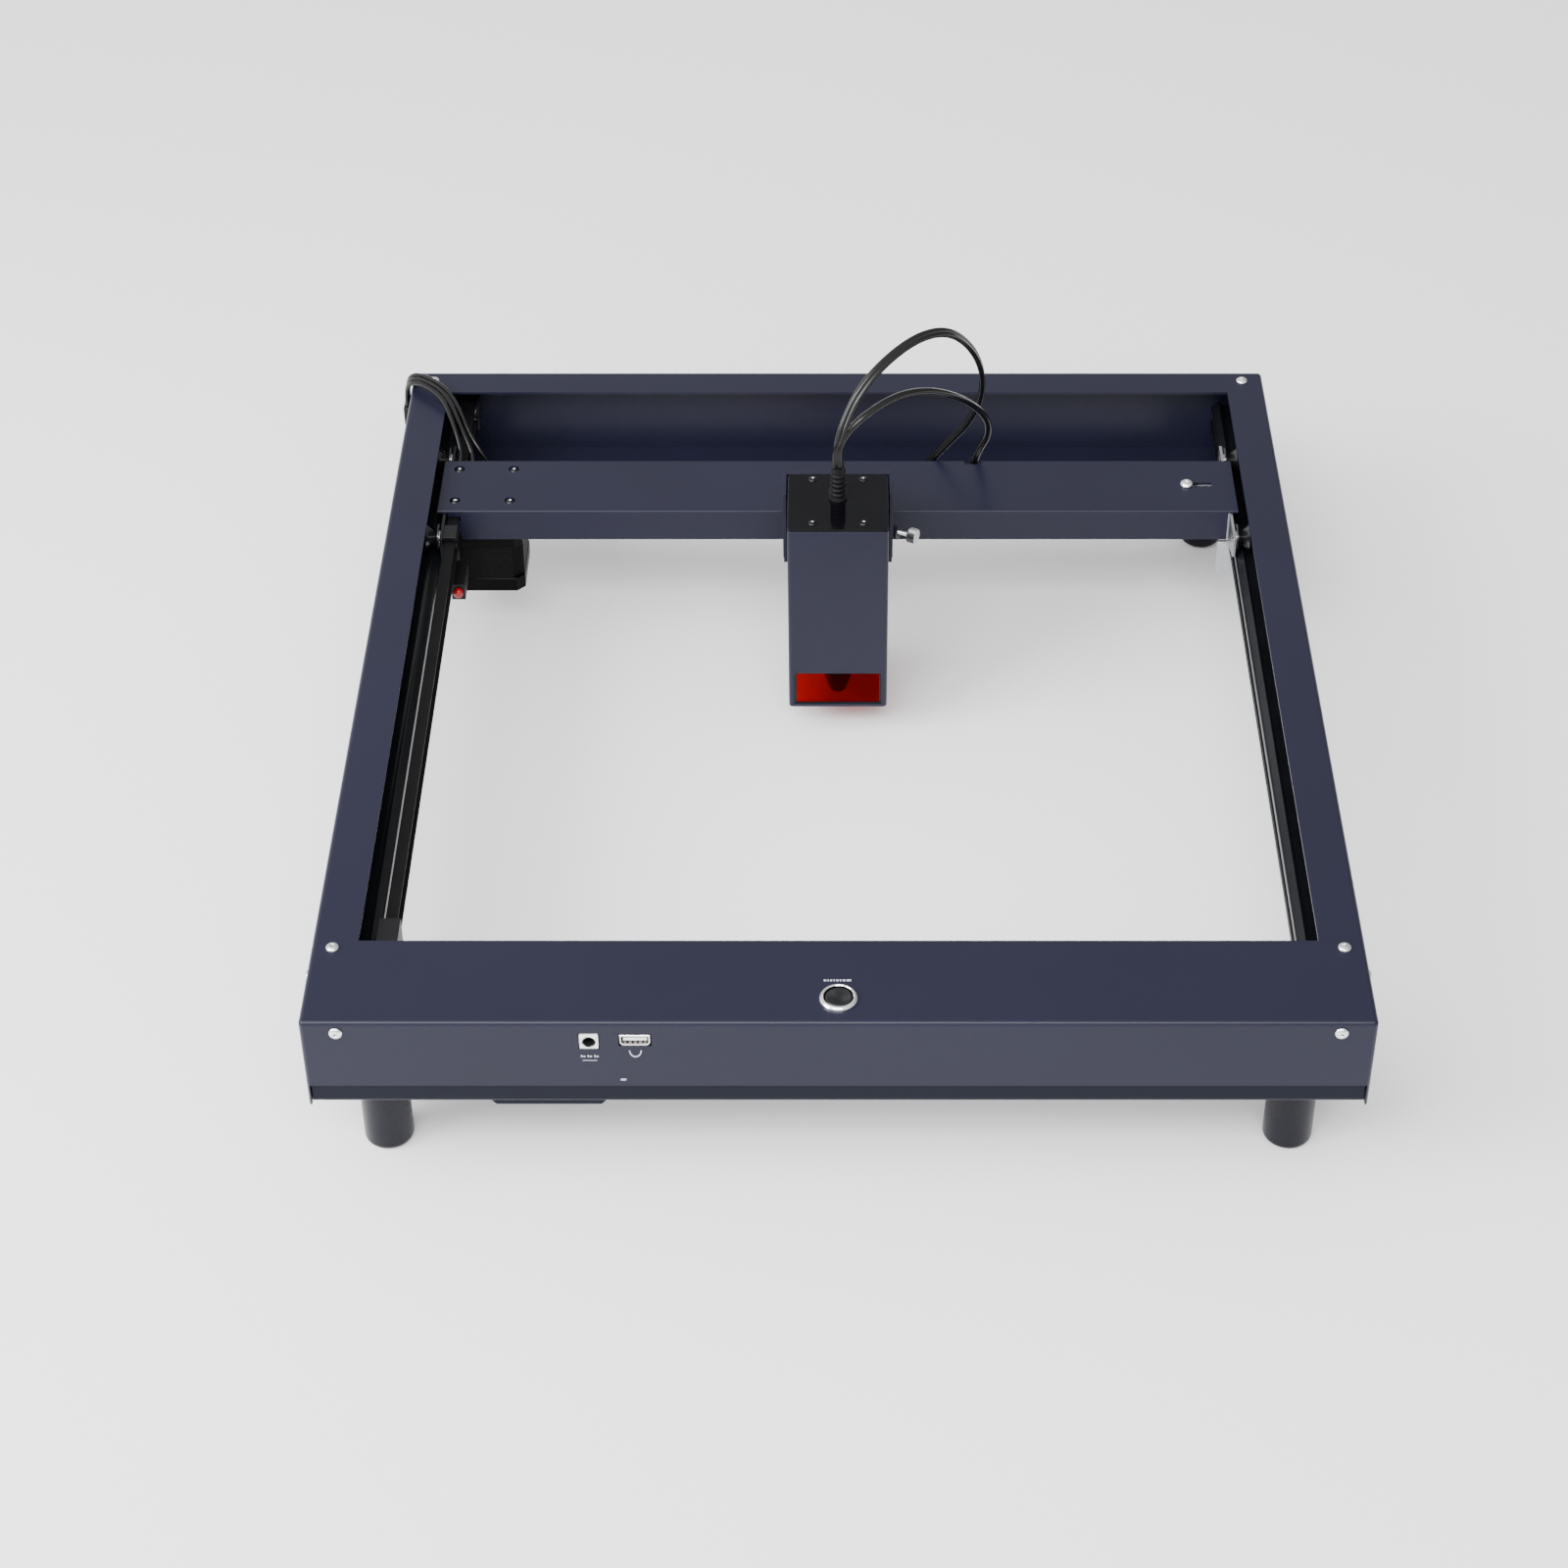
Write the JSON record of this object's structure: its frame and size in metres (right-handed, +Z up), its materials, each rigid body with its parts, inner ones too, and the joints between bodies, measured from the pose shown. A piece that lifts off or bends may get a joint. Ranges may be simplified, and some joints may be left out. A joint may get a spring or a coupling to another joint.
{
  "type": "desktop laser cutter",
  "caption": "Open-frame desktop laser cutter: a low box frame on legs, a belt-driven gantry and a height-adjustable laser module with a tinted shield.",
  "frame": {"origin": "on the surface the legs stand on, under the middle of the frame", "axes": "+Z up, +Y to the rear, +X to the right seen from the front"},
  "size_m": [0.5078, 0.5536, 0.2206],
  "materials": {
    "frame_paint": "satin powder coat",
    "tray_paint": "satin powder coat",
    "leg_plastic": "matt",
    "black_anodised": "black anodised",
    "beam_paint": "satin powder coat",
    "head_paint": "satin anodised",
    "gloss_black": "gloss",
    "plate_metal": "brushed",
    "bright_steel": "polished",
    "switch_chrome": "polished",
    "button_face": "gloss",
    "wheel_plastic": "smooth",
    "motor_black": "satin",
    "pulley_metal": "machined",
    "belt_rubber": "matt",
    "black_plastic": "fine texture",
    "red_plastic": "gloss",
    "shield_acrylic": "tinted clear",
    "board_green": "solder mask",
    "jack_plastic": "gloss",
    "port_metal": "plated",
    "lead_jacket": "satin"
  },
  "bodies": {
    "frame": {"frame_shell": "frame_paint", "front_tray": "tray_paint", "service_cover": "frame_paint", "leg_front_left": "leg_plastic", "leg_front_right": "leg_plastic", "leg_rear_left": "leg_plastic", "leg_rear_right": "leg_plastic", "y_rail_left": "black_anodised", "y_rail_right": "black_anodised", "case_screws": "bright_steel", "power_switch_body": "switch_chrome", "control_board": "board_green", "dc_jack": "jack_plastic", "usb_port": "port_metal", "cable_grommet": "black_plastic", "y_motor": "motor_black", "y_belt": "belt_rubber", "front_belt_bracket": "black_plastic", "rear_idler_bracket": "plate_metal", "rear_cable_one": "lead_jacket", "rear_cable_two": "lead_jacket", "rear_cable_three": "lead_jacket"},
    "power_button": {"power_button_cap": "button_face"},
    "y_motor_pulley": {"y_motor_pulley": "pulley_metal"},
    "y_idler_pulley": {"y_idler_pulley": "pulley_metal"},
    "gantry": {"gantry_cover": "beam_paint", "left_carriage_plate": "plate_metal", "right_carriage_plate": "plate_metal", "wheel_axles": "bright_steel", "x_motor": "motor_black", "gantry_screws": "bright_steel", "x_belt": "belt_rubber", "x_tension_screw": "bright_steel", "x_rail": "black_anodised", "y_belt_clamp": "plate_metal", "y_switch_body": "black_plastic", "cable_clip": "black_plastic", "head_power_cable": "lead_jacket", "head_signal_cable": "lead_jacket"},
    "x_motor_pulley": {"x_motor_pulley": "pulley_metal"},
    "x_idler_pulley": {"x_idler_pulley": "pulley_metal"},
    "y_switch_plunger": {"y_switch_plunger": "red_plastic"},
    "carriage": {"carriage_block": "plate_metal", "carriage_plate": "head_paint"},
    "lock_screw": {"lock_screw": "bright_steel"},
    "laser_module": {"laser_housing": "head_paint", "laser_shield": "shield_acrylic", "laser_heatsink": "black_anodised", "laser_nozzle": "black_anodised", "laser_top_plate": "gloss_black", "laser_top_screws": "bright_steel", "fan_frame": "black_plastic", "cable_plug": "black_plastic"},
    "fan_rotor": {"fan_rotor": "black_plastic"},
    "left_front_wheel": {"left_front_wheel": "wheel_plastic"},
    "left_rear_wheel": {"left_rear_wheel": "wheel_plastic"},
    "left_lower_wheel": {"left_lower_wheel": "wheel_plastic"},
    "right_front_wheel": {"right_front_wheel": "wheel_plastic"},
    "right_rear_wheel": {"right_rear_wheel": "wheel_plastic"},
    "right_lower_wheel": {"right_lower_wheel": "wheel_plastic"}
  },
  "joints": [
    {"name": "y_slide", "type": "slide", "parent": "frame", "child": "gantry", "axis": [0, 1, 0], "range_m": [-0.28, 0.025], "deforming": ["rear_cable_one", "rear_cable_two", "rear_cable_three"]},
    {"name": "x_slide", "type": "slide", "parent": "gantry", "child": "carriage", "axis": [1, 0, 0], "range_m": [-0.155, 0.17], "deforming": ["head_power_cable", "head_signal_cable"]},
    {"name": "z_slide", "type": "slide", "parent": "carriage", "child": "laser_module", "axis": [0, 0, 1], "range_m": [-0.015, 0.02]},
    {"name": "lock_screw_turn", "type": "hinge", "parent": "carriage", "child": "lock_screw", "pos_m": [0.0295, 0.129, 0.096], "axis": [0.9063, -0.4226, 0], "range_deg": [0, 720]},
    {"name": "power_button_press", "type": "slide", "parent": "frame", "child": "power_button", "axis": [0, 0, -1], "range_m": [0, 0.0015], "stiffness_N_per_m": 400, "springref_m": -0.001},
    {"name": "y_switch_press", "type": "slide", "parent": "gantry", "child": "y_switch_plunger", "axis": [0, 1, 0], "range_m": [0, 0.0015], "stiffness_N_per_m": 200, "springref_m": -0.001},
    {"name": "fan_spin", "type": "hinge", "parent": "laser_module", "child": "fan_rotor", "pos_m": [0, 0.093, 0.1295], "axis": [0, 0, 1], "continuous": true},
    {"name": "y_motor_pulley_spin", "type": "hinge", "parent": "frame", "child": "y_motor_pulley", "pos_m": [-0.2164, -0.243, 0.0864], "axis": [1, 0, 0], "range_deg": [-600, 3000]},
    {"name": "y_idler_pulley_spin", "type": "hinge", "parent": "frame", "child": "y_idler_pulley", "pos_m": [-0.2164, 0.262, 0.0864], "axis": [1, 0, 0], "range_deg": [-600, 3000]},
    {"name": "x_motor_pulley_spin", "type": "hinge", "parent": "gantry", "child": "x_motor_pulley", "pos_m": [-0.2006, 0.171, 0.086], "axis": [0, 0, 1], "range_deg": [-1500, 1600]},
    {"name": "x_idler_pulley_spin", "type": "hinge", "parent": "gantry", "child": "x_idler_pulley", "pos_m": [0.198, 0.171, 0.086], "axis": [0, 0, 1], "range_deg": [-1500, 1600]},
    {"name": "left_front_wheel_roll", "type": "hinge", "parent": "gantry", "child": "left_front_wheel", "pos_m": [-0.2262, 0.128, 0.0913], "axis": [1, 0, 0], "range_deg": [-400, 2600]},
    {"name": "left_rear_wheel_roll", "type": "hinge", "parent": "gantry", "child": "left_rear_wheel", "pos_m": [-0.2262, 0.204, 0.0913], "axis": [1, 0, 0], "range_deg": [-400, 2600]},
    {"name": "left_lower_wheel_roll", "type": "hinge", "parent": "gantry", "child": "left_lower_wheel", "pos_m": [-0.2262, 0.138, 0.0607], "axis": [1, 0, 0], "range_deg": [-2600, 400]},
    {"name": "right_front_wheel_roll", "type": "hinge", "parent": "gantry", "child": "right_front_wheel", "pos_m": [0.2262, 0.128, 0.0913], "axis": [1, 0, 0], "range_deg": [-400, 2600]},
    {"name": "right_rear_wheel_roll", "type": "hinge", "parent": "gantry", "child": "right_rear_wheel", "pos_m": [0.2262, 0.204, 0.0913], "axis": [1, 0, 0], "range_deg": [-400, 2600]},
    {"name": "right_lower_wheel_roll", "type": "hinge", "parent": "gantry", "child": "right_lower_wheel", "pos_m": [0.2262, 0.166, 0.0607], "axis": [1, 0, 0], "range_deg": [-2600, 400]}
  ],
  "couplings": [
    {"joint": "y_motor_pulley_spin", "follows": "y_slide", "rad_per_m": -178.57},
    {"joint": "y_idler_pulley_spin", "follows": "y_slide", "rad_per_m": -178.57},
    {"joint": "x_motor_pulley_spin", "follows": "x_slide", "rad_per_m": 144.93},
    {"joint": "x_idler_pulley_spin", "follows": "x_slide", "rad_per_m": 144.93},
    {"joint": "left_front_wheel_roll", "follows": "y_slide", "rad_per_m": -153.85},
    {"joint": "left_rear_wheel_roll", "follows": "y_slide", "rad_per_m": -153.85},
    {"joint": "left_lower_wheel_roll", "follows": "y_slide", "rad_per_m": 153.85},
    {"joint": "right_front_wheel_roll", "follows": "y_slide", "rad_per_m": -153.85},
    {"joint": "right_rear_wheel_roll", "follows": "y_slide", "rad_per_m": -153.85},
    {"joint": "right_lower_wheel_roll", "follows": "y_slide", "rad_per_m": 153.85}
  ]
}
